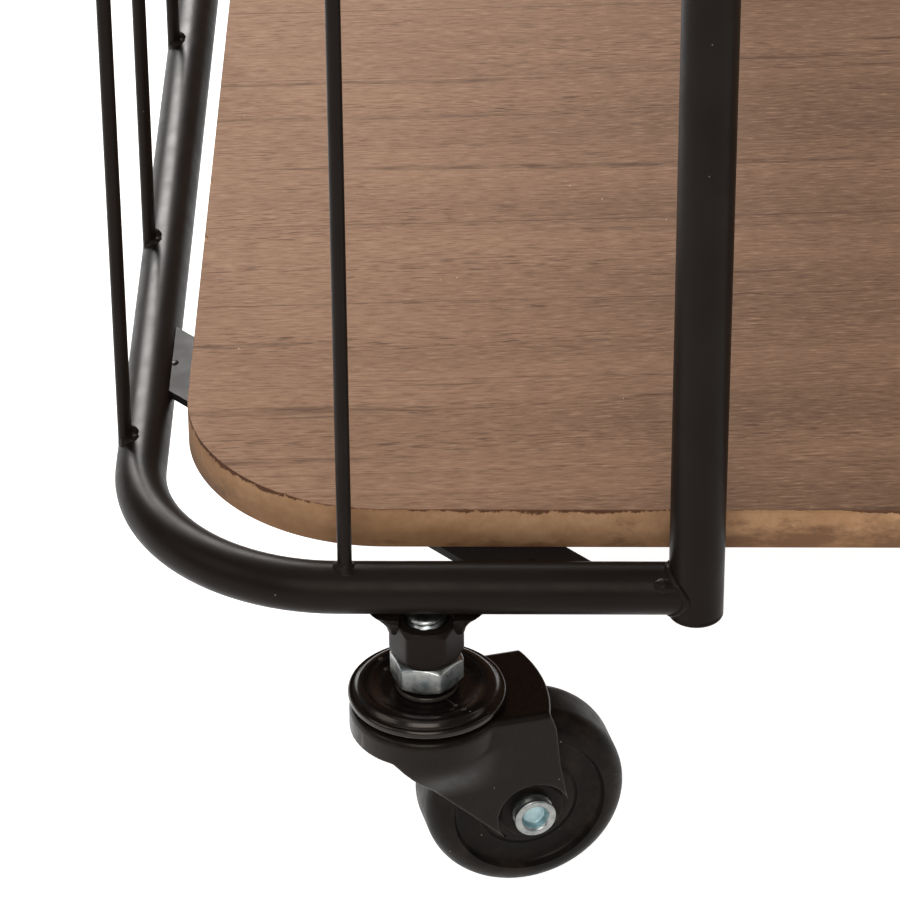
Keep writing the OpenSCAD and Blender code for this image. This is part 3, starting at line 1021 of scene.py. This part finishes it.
@dataclass
class Caster:
    """The patterns of a caster's parts, drawn with the swivel axis on Z and the wheel towards +X."""

    sizes: CartSizes
    trail: float
    axle_z: float
    hex_af: float = 16 * MM
    edge_power: int = 70
    turned_power: int = 34
    stem_r: float = 5 * MM
    thread_pitch: float = 1.5 * MM
    thread_depth: float = 0.55 * MM
    kingpin_r: float = 4.5 * MM
    plate_t: float = 2 * MM
    cheek_in: float = 12.5 * MM
    skirt_r: float = 18.9 * MM
    skirt_h: float = 7.5 * MM
    front_x: float = -12 * MM
    race_t: float = 1.3 * MM
    race_depth: float = 1.4 * MM
    rim_drop: float = 1.6 * MM
    boss_r: float = 9 * MM
    socket_gap: float = 2.2 * MM
    tread_r: float = 6 * MM
    patterns: dict[str, Piece] = field(default_factory=dict)

    # -- measured heights --

    def span(self, part: str) -> tuple[float, float]:
        """Lowest and highest point of a part of the front left caster."""
        low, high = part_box(f"front_left_{part}")
        return low.z, high.z

    # -- turned and milled parts --

    def hexagon(self, radius: float, angle: float) -> float:
        """Distance of a hexagon's softly rounded side from its axis, but no more than radius."""
        flats = (math.cos(angle - (k + 0.5) * math.pi / 3) for k in range(6))
        side = sum(max(f, 0.0) ** self.edge_power for f in flats) ** (-1 / self.edge_power) * self.hex_af / 2
        return (side**-self.turned_power + radius**-self.turned_power) ** (-1 / self.turned_power)

    def nut(self, name: str, low: float, high: float, chamfer_low: float, chamfer_high: float,
            turn: float) -> Piece:
        """Mills a hexagon nut with its corners turned off at both ends.

        Args:
            name: Name of the pattern.
            low: Height of its lower face.
            high: Height of its upper face.
            chamfer_low: Height over which the lower corners are turned off.
            chamfer_high: The same at the top.
            turn: Angle that it stands at.

        Returns:
            The pattern.
        """
        face_r, corner_r = self.hex_af / 2 - 0.1 * MM, self.hex_af / math.sqrt(3)
        bore = self.stem_r + 0.05 * MM
        lower, upper = (corner_r, low + chamfer_low), (corner_r, high - chamfer_high)
        wall = between((face_r, low), lower) + between(lower, upper) + between(upper, (face_r, high))
        inner = [(bore, high - 0.7 * MM), (bore, low + 0.7 * MM)]
        profile = [(bore + 0.6 * MM, low), (face_r - 0.5 * MM, low), *wall,
                   (face_r - 0.5 * MM, high), (bore + 0.6 * MM, high), *inner]

        def shape(radius: float, _height: float, angle: float) -> float:
            return self.hexagon(radius, angle) if radius >= face_r - 1e-6 else radius

        bm = bmesh.new()
        lathe(bm, profile, 192, shape)
        bm.transform(Matrix.Rotation(turn, 4, "Z"))
        return mesh_object(name, bm, 24)

    def threaded_stem(self) -> Piece:
        """Turns the stem with its plated thread and, in gloss black, its shoulder, kingpin and peened head;
        on the shoulder under the lock nut the black is painted shade.
        """
        low, high = self.span("stem")
        _, cap_top = self.span("race_cap")
        well = cap_top - self.race_depth
        shoulder_top = well + self.race_depth
        head_top = low + 2.8 * MM
        thread_low, thread_high = shoulder_top + 0.4 * MM, high - 1.0 * MM
        count = int((thread_high - thread_low) / (0.16 * MM))
        r = self.stem_r
        profile: Profile = [(0.0, low), (0.6 * self.kingpin_r, low), (self.kingpin_r, low + 0.25 * MM),
                            *in_mm([(8.2, -2.0), (8.6, -1.6), (8.6, -0.4), (8.2, 0.0)], head_top),
                            (self.kingpin_r, head_top), (self.kingpin_r, well), (7.3 * MM, well),
                            (7.6 * MM, well + 0.3 * MM), *in_mm([(7.6, -0.3), (7.3, 0.0)], shoulder_top),
                            (r, shoulder_top)]
        profile += [(r, thread_low + (thread_high - thread_low) * k / count) for k in range(count + 1)]
        profile += [(r - 0.35 * MM, high - 0.45 * MM), (r - 0.9 * MM, high - 0.12 * MM), (r - 1.7 * MM, high),
                    (0.0, high)]

        def shape(radius: float, height: float, angle: float) -> float:
            if abs(radius - r) > 1e-7 or not thread_low <= height <= thread_high:
                return radius
            turn = height / self.thread_pitch - angle / math.tau
            fade = min(1.0, (height - thread_low) / (1.5 * MM))
            return radius - fade * self.thread_depth * abs(2 * (turn % 1) - 1)

        bm = bmesh.new()
        lathe(bm, profile, 72, shape)
        # Faces below the thread take the gloss black; on the shoulder this is painted shade under the lock
        # nut.
        for face in bm.faces:
            face.material_index = int(face.calc_center_median().z < thread_low)
        return mesh_object("stem_pattern", bm, 50)

    def race(self) -> Piece:
        """Presses the upper race: a dish with a raised ring and a rolled rim."""
        low, top = self.span("race_cap")
        well = top - self.race_depth
        under = well - self.race_t
        low = max(low, under - self.rim_drop)
        bore = self.kingpin_r + 0.05 * MM
        profile = [(bore, under), (10 * MM, under),
                   *in_mm([(11.4, -1.6), (17.4, -1.6)], top),
                   *in_mm([(17.4, 0.0), (18.7, 0.0), (19.1, 0.4)], low),
                   *in_mm([(19.1, -2.2), (18.6, -1.6), (18.0, -1.75), (17.3, -1.25), (16.6, -0.35),
                           (15.3, 0.0), (13.8, -0.25), (12.3, -1.0)], top), (11 * MM, well), (bore, well)]
        bm = bmesh.new()
        lathe(bm, fillet(profile, 0.7 * MM, 4, closed=True), 160)
        return mesh_object("race_pattern", bm, 50)

    def rivet(self) -> Piece:
        """Heads the axle rivet: two thin rolled rims round a recess, along the Y axis."""
        reach = self.cheek_in + self.plate_t + 0.02 * MM
        tip = reach + 1.1 * MM
        outer, hole, floor = 5.15 * MM, 3.1 * MM, 2.4 * MM
        half = fillet([(3.5 * MM, 0.0), (3.5 * MM, reach), (outer, reach), (outer, tip - 0.25 * MM),
                       (outer - 0.5 * MM, tip), (hole + 0.5 * MM, tip), (hole, tip - 0.7 * MM),
                       (hole - 0.3 * MM, tip - floor), (1.2 * MM, tip - floor - 0.1 * MM),
                       (0.0, tip - floor - 0.15 * MM)], 0.4 * MM, 5)
        profile = [(0.0, -half[-1][1])] + [(r, -z) for r, z in reversed(half[1:-1])] + half[1:]
        bm = bmesh.new()
        lathe(bm, profile, 96)
        for face in bm.faces:
            hollow = all(vert.co.xy.length < hole + 0.15 * MM and abs(vert.co.z) > reach - floor
                         for vert in face.verts)
            face.material_index = int(hollow)
        bm.transform(Matrix.Rotation(math.pi / 2, 4, "X"))
        return mesh_object("rivet_pattern", bm, 50)

    def wheel(self) -> Piece:
        """Moulds the wheel along the Y axis: round tread, recessed faces, raised ring and hub."""
        r, half = self.axle_z, 10 * MM
        crown = [(r - self.tread_r * (1 - math.sin(a)), half - self.tread_r * (1 - math.cos(a)))
                 for a in (turn * math.pi / 2 for turn in shares(14))]
        face = in_mm([(5.05, 11.9), (7.6, 11.9), (8.0, 11.5), (8.15, 9.4), (10.9, 9.2), (11.8, 8.7),
                      (12.6, 8.0), (13.6, 7.8), (17.6, 7.8), (18.4, 8.2), (18.9, 9.2), (19.2, 9.7)])
        half_profile = fillet(face + [crown[0]], 0.4 * MM, 3)[:-1] + crown
        seam = [(r, 0.35 * MM), (r, 0.0)]
        profile = half_profile + seam + [(p, -h) for p, h in reversed(half_profile)]
        bm = bmesh.new()
        lathe(bm, profile, 160)
        bm.transform(Matrix.Rotation(math.pi / 2, 4, "X"))
        return mesh_object("wheel_pattern", bm, 34)

    # -- the stamped fork --

    def cheek_outline(self) -> list[Vector]:
        """Side view of a cheek as points (x, z)."""
        plate_top = self.span("fork")[1]
        axle = Vector((self.trail, self.axle_z))
        front_top = Vector((self.front_x, plate_top - self.skirt_h))
        knee = Vector((29.6 * MM, plate_top - 15.5 * MM))
        front_foot = self.tangent_angle(front_top, axle, -1)
        rear_foot = self.tangent_angle(knee, axle, 1)
        arc = [axle + self.boss_r * Vector((math.cos(a), math.sin(a)))
               for a in (front_foot + (rear_foot - front_foot) * k / 30 for k in range(31))]
        top = plate_top - 0.8 * MM
        return [Vector((self.front_x, top)), front_top, *arc, knee, Vector((28.6 * MM, plate_top - 4.9 * MM)),
                Vector((27.2 * MM, top))]

    def tangent_angle(self, start: Vector, centre: Vector, side: int) -> float:
        """Angle on the boss at which a line from start touches it."""
        way = start - centre
        open_by = math.acos(self.boss_r / way.length)
        angle = math.atan2(way.y, way.x) - side * open_by
        return angle if side < 0 and angle > -math.pi else angle + (math.tau if side < 0 else 0)

    def fork(self) -> Piece:
        """Stamps the fork: a cup under the race, a tongue over the wheel and two cheeks."""
        top = self.span("fork")[1]
        under, skirt_low = top - self.plate_t, top - self.skirt_h
        outer, inner = self.skirt_r, self.skirt_r - self.plate_t
        bm = bmesh.new()
        bore = self.kingpin_r + 0.3 * MM
        cup = [(bore, under), (inner - 1.0 * MM, under), (inner, under - 1.0 * MM), (inner, skirt_low),
               (outer, skirt_low), (outer, top - 1.9 * MM), (outer - 0.55 * MM, top - 0.6 * MM),
               (outer - 1.9 * MM, top), (bore, top)]
        lathe(bm, cup, 120)
        edge = 1.5 * MM
        rings = [(0.0, under), (0.0, top - edge), (0.3 * edge, top - 0.35 * edge), (edge, top)]
        skin_rings(bm, [[Vector((p.x, p.y, z)) for p in self.tongue_outline(inset)] for inset, z in rings])
        cheek = self.cheek_outline()
        for y in (-self.cheek_in, self.cheek_in + self.plate_t):
            place = Matrix.Translation((0, y, 0)) @ Matrix.Rotation(math.pi / 2, 4, "X")
            skin_rings(bm, [[place @ Vector((p.x, p.y, z)) for p in cheek] for z in (0.0, self.plate_t)])
        for side in (-1, 1):
            self.blend_cup(bm, side, skirt_low, top - 3 * MM)
        fork = mesh_object("fork_pattern", bm)
        self.cut(fork, Vector((4 * MM, -self.cheek_in, skirt_low - MM)),
                 Vector((45 * MM, self.cheek_in, under)))
        return melted(fork, voxel=0.33 * MM, smoothing=7, faces_kept=0.3)

    def blend_cup(self, bm: Mesh, side: int, skirt_low: float, high: float) -> None:
        """Draws the cup's round side down into the flat cheek.

        Args:
            bm: The mesh to add to.
            side: 1 or -1, the cheek's side.
            skirt_low: Height of the cup's lower edge.
            high: Height at which the blend begins.
        """
        cheek_out = self.cheek_in + self.plate_t
        rise = self.skirt_r - cheek_out
        reach = math.sqrt(self.skirt_r**2 - cheek_out**2)
        rear, drop, soft = reach + 5 * MM, 13 * MM, 1.8 * MM
        rows, columns = 16, 28

        def swell(x: float) -> float:
            over = math.sqrt(max(self.skirt_r**2 - x * x, 0.0)) - cheek_out
            ease = soft * max(0.0, min(1.0, 2 * x / reach))
            return (over + math.hypot(over, ease)) * rise / (rise + math.hypot(rise, ease))

        rings = []
        for row in range(rows + 3):
            down = max(drop * (row - 2) / rows, 0.0)
            share = (1 + math.cos(math.pi * down / drop)) / 2 if row else 0.0
            front = 1.05 * down - reach
            z = skirt_low - down if row else high
            places = [front + (rear - front) * k / columns for k in range(columns + 1)]
            bulge = [Vector((x, side * (cheek_out + swell(x) * share - 0.04 * MM), z)) for x in places]
            rings.append([Vector((front, side * (cheek_out - MM), z)), *bulge,
                          Vector((rear, side * (cheek_out - MM), z))])
        skin_rings(bm, rings)

    def tongue_outline(self, inset: float = 0.0) -> list[Vector]:
        """Plan of the tongue: straight sides and a rear edge that bows out, both drawn in by inset."""
        half = self.cheek_in + self.plate_t - inset
        bow, tip = 38.9 * MM, 29.5 * MM - 0.3 * inset
        edge = [Vector((tip - bow + math.sqrt(bow**2 - y * y), y))
                for y in (half * (2 * along - 1) for along in shares(24))]
        return [Vector((4 * MM, -half)), *edge, Vector((4 * MM, half))]

    def cut(self, obj: Piece, low: Vector, high: Vector) -> None:
        """Cuts a box shaped window out of an object's mesh."""
        bm = bmesh.new()
        bmesh.ops.create_cube(bm, size=1.0)
        bm.transform(Matrix.Translation((low + high) / 2) @ Matrix.Diagonal((*(high - low), 1)))
        tool = mesh_object("cut_tool", bm)
        window = obj.modifiers.new("Window", "BOOLEAN")
        window.object, window.operation, window.use_self = tool, "DIFFERENCE", True
        baked(obj)
        bpy.data.objects.remove(tool)

    def socket_weld(self) -> Piece:
        """Runs a hollow flare of weld metal from each end of the socket up to the rail."""
        s = self.sizes
        under = s.level_z[0] - s.rail_r
        corner = self.hex_af / math.sqrt(3)
        leg, fall, root, rows = 4.9 * MM, 5.8 * MM, 1.6 * MM, 12
        bm = bmesh.new()
        for side in (-1, 1):
            rings = []
            for drop in shares(rows):
                reach = leg * (1 - drop) ** 1.9 + 0.15 * MM
                half = 5.6 * MM * (1 - 0.45 * drop)
                ring = []
                for k in range(24):
                    a = k / 24 * math.tau
                    out = (reach + root) * math.cos(a) if math.cos(a) > 0 else -1.2 * MM
                    at = Vector((side * (corner - root + out), half * math.sin(a),
                                 under + 0.35 * MM - drop * fall))
                    at.y *= 1 + 0.14 * noise.noise(at * 420)
                    ring.append(at)
                rings.append(ring if side > 0 else ring[::-1])
            skin_rings(bm, rings)
        return melted(mesh_object("socket_weld_pattern", bm), voxel=0.25 * MM, smoothing=6)

    def build_patterns(self) -> None:
        """Makes one of each part."""
        nut_low, nut_high = (box.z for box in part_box("caster_lock_nuts"))
        socket_low = self.span("socket")[0]
        socket_high = self.sizes.level_z[0] - self.sizes.rail_r - self.socket_gap
        self.patterns = {
            "socket": self.nut("socket_pattern", socket_low, socket_high, chamfer_low=2 * MM,
                               chamfer_high=1.2 * MM, turn=0.0),
            "socket_weld": self.socket_weld(),
            "lock_nut": self.nut("lock_nut_pattern", nut_low, nut_high, chamfer_low=0.8 * MM,
                                 chamfer_high=0.8 * MM, turn=math.radians(-9)),
            "stem": self.threaded_stem(),
            "race_cap": self.race(),
            "fork": self.fork(),
            "axle_rivet": self.rivet(),
            "wheel": self.wheel(),
        }
        # The stem's second finish, gloss black below the thread, is painted shade on the shoulder under the
        # lock nut.
        finishes = {"socket": [Finish.COAT], "socket_weld": [Finish.COAT], "lock_nut": [Finish.ZINC],
                    "stem": [Finish.ZINC, Finish.RACE], "race_cap": [Finish.RACE], "fork": [Finish.PRESSED],
                    "axle_rivet": [Finish.ZINC, Finish.ZINC_HOLLOW], "wheel": [Finish.WHEEL]}
        for part, pattern in self.patterns.items():
            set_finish(dress(pattern, *finishes[part]), finishes[part][0].slot)

    def stand(self, place: CasterPlace) -> None:
        """Sets up one caster from the patterns."""
        axle = place.turned @ Matrix.Translation((self.trail, 0, self.axle_z))
        plan = (("socket", place.fixed, "frame"), ("socket_weld", place.fixed, "frame"),
                ("lock_nut", place.fixed, "frame"), ("stem", place.fixed, "frame"),
                ("race_cap", place.fixed, "frame"), ("fork", place.turned, f"{place.name}_fork_body"),
                ("axle_rivet", axle, f"{place.name}_fork_body"), ("wheel", axle, f"{place.name}_wheel_body"))
        for part, where, body in plan:
            pattern = self.patterns[part]
            piece = placed_copy(pattern, f"{place.name}_caster_{part}", where)
            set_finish(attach(piece, body), pattern["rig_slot"])
            if part == "lock_nut":
                if place.name == "front_left":
                    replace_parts(piece, "caster_lock_nuts")
            elif part != "socket_weld":
                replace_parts(piece, f"{place.name}_{part}")

    def clear_patterns(self) -> None:
        """Removes the patterns once every caster stands."""
        for pattern in self.patterns.values():
            bpy.data.objects.remove(pattern)


def caster_places(joints: Sequence[dict[str, Any]]) -> list[CasterPlace]:
    """Reads the casters' places and headings from the swivel and roll joints."""
    at = {joint["name"]: Vector(joint["pos_m"]) for joint in joints}
    names = [name.removesuffix("_swivel") for name in at if name.endswith("_swivel")]
    places = []
    for name in names:
        swivel, roll = at[f"{name}_swivel"], at[f"{name}_roll"]
        places.append(CasterPlace(name, swivel.x, swivel.y, math.atan2(roll.y - swivel.y, roll.x - swivel.x)))
    return places


# ---- Studio ----


@dataclass(frozen=True)
class SoftLight:
    """A square soft light that shines at a point and isn't seen itself."""

    name: str
    place: Vector
    target: Vector
    size: float
    watts: float
    tint: Colour = (1.0, 1.0, 1.0)

    def build(self) -> None:
        """Hangs the light."""
        data = bpy.data.lights.new(self.name, "AREA")
        data.shape, data.size, data.energy, data.color = "SQUARE", self.size, self.watts, self.tint
        lamp = bpy.data.objects.new(self.name, data)
        lamp.location = self.place
        lamp.rotation_euler = (self.target - self.place).to_track_quat("-Z", "Y").to_euler()
        lamp.visible_camera = False
        bpy.context.scene.collection.objects.link(lamp)


@dataclass
class Studio:
    """Pale floor, soft light and the camera that looks down on the front left corner."""

    sizes: CartSizes
    lens_mm: float = 200.0
    distance: float = 1.2376
    pitch_deg: float = 33.38
    yaw_deg: float = -1.0
    roll_deg: float = -0.43
    aim_out: float = 59.28 * MM
    aim_back: float = 59.4 * MM
    air_glow: float = 0.16
    floor_half: float = 80.0
    floor_gap: float = 0.2 * MM

    def build_camera(self) -> None:
        """Points the camera at the shelf between the front left post and the corner."""
        s = self.sizes
        aim = Vector((-s.post_x - self.aim_out, -s.row_y + self.aim_back, s.level_z[0]))
        pitch, yaw = math.radians(self.pitch_deg), math.radians(self.yaw_deg)
        ahead = Vector((math.sin(yaw) * math.cos(pitch), math.cos(yaw) * math.cos(pitch), -math.sin(pitch)))
        data = bpy.data.cameras.new("corner_camera")
        data.lens, data.sensor_width = self.lens_mm, 36.0
        data.clip_start, data.clip_end = 0.05, 200.0
        camera = bpy.data.objects.new("corner_camera", data)
        turn = ahead.to_track_quat("-Z", "Y").to_matrix().to_4x4() @ Matrix.Rotation(
            math.radians(self.roll_deg), 4, "Z")
        camera.matrix_world = Matrix.Translation(aim - ahead * self.distance) @ turn
        bpy.context.scene.collection.objects.link(camera)
        bpy.context.scene.camera = camera

    def build_floor(self) -> None:
        """Lays the floor just under the wheels."""
        bm = bmesh.new()
        bmesh.ops.create_grid(bm, x_segments=8, y_segments=8, size=self.floor_half)
        floor = mesh_object("studio_floor", bm)
        floor.location.z = -self.floor_gap
        floor.data.materials.append(PaleFloor().material())

    def build_light(self) -> None:
        """Sets the surrounding light and the soft lamps."""
        scene = bpy.context.scene
        scene.view_settings.view_transform = "Standard"
        world = bpy.data.worlds.new("studio_air")
        world.use_nodes = True
        air = world.node_tree.nodes["Background"]
        air.inputs["Color"].default_value = (1.0, 1.0, 1.0, 1.0)
        air.inputs["Strength"].default_value = self.air_glow
        scene.world = world
        middle = Vector((0, 0, 0.4))
        corner = Vector((-0.3, -0.2, 0.1))
        for lamp in (
            SoftLight("back_softbox", Vector((-0.9, 1.78, 1.2)), corner, 1.0, 100.0),
            SoftLight("front_softbox", Vector((-0.5, -2.4, 1.9)), corner, 1.8, 55.0),
            SoftLight("overhead_softbox", Vector((-0.4, -0.2, 2.7)), corner, 1.8, 12.0),
            SoftLight("left_softbox", Vector((-2.2, -0.9, 1.5)), corner, 1.2, 12.0),
            SoftLight("right_softbox", Vector((2.4, 0.4, 2.0)), middle, 1.6, 25.0),
        ):
            lamp.build()

    def build(self) -> None:
        """Builds the studio."""
        self.build_camera()
        self.build_floor()
        self.build_light()


# ---- Small parts that keep their CAD shape ----


def dress_small_parts(nodes: dict[str, Piece]) -> int:
    """Gives every CAD node that is still shown its finish.

    Args:
        nodes: The frame's nodes by name.

    Returns:
        How many nodes were dressed.
    """
    # The braces take the lighter coat, whose extra lightness is painted light.
    finishes = (("braces", Finish.BRACE_COAT), ("guard_bolts", Finish.PRESSED), ("shelf_screws", Finish.ZINC),
                ("balls", Finish.ZINC), ("sleeve", Finish.ZINC))
    shown = [obj for obj in nodes.values() if not obj.hide_render]
    for obj in shown:
        finish = next((f for ending, f in finishes if obj.name.endswith(ending)), Finish.COAT)
        dress(obj, finish)
    return len(shown)


def main() -> None:
    """Builds the cart and its studio."""
    logging.basicConfig(level=logging.INFO, format="%(name)s: %(message)s")
    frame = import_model()
    sizes = CartSizes.from_frame()

    for name, side in (("left", -1), ("right", 1)):
        cage = EndCage(name, side, sizes)
        cage.build()
        LOG.info("%s end cage: %d pieces", name, len(cage.pieces))
    PostCaps(sizes).build()
    for row in (-1, 1):
        GuardRail(row, sizes).build()
    for number, node in enumerate(("bottom_shelf", "top_shelf")):
        ShelfBoard(node, seed=3.7 * number).build()
        LOG.info("%s: board and veneer", node)

    places = caster_places(frame["joints"])
    first = places[0]
    roll = next(j for j in frame["joints"] if j["name"] == f"{first.name}_roll")
    reach = math.hypot(roll["pos_m"][0] - first.x, roll["pos_m"][1] - first.y)
    caster = Caster(sizes, trail=reach, axle_z=roll["pos_m"][2])
    caster.build_patterns()
    for place in places:
        caster.stand(place)
        LOG.info("%s caster: heading %.0f degrees", place.name, math.degrees(place.heading))
    caster.clear_patterns()
    LOG.info("small parts dressed: %d", dress_small_parts(frame["nodes"]))

    Studio(sizes).build()


if __name__ == "__main__":
    main()
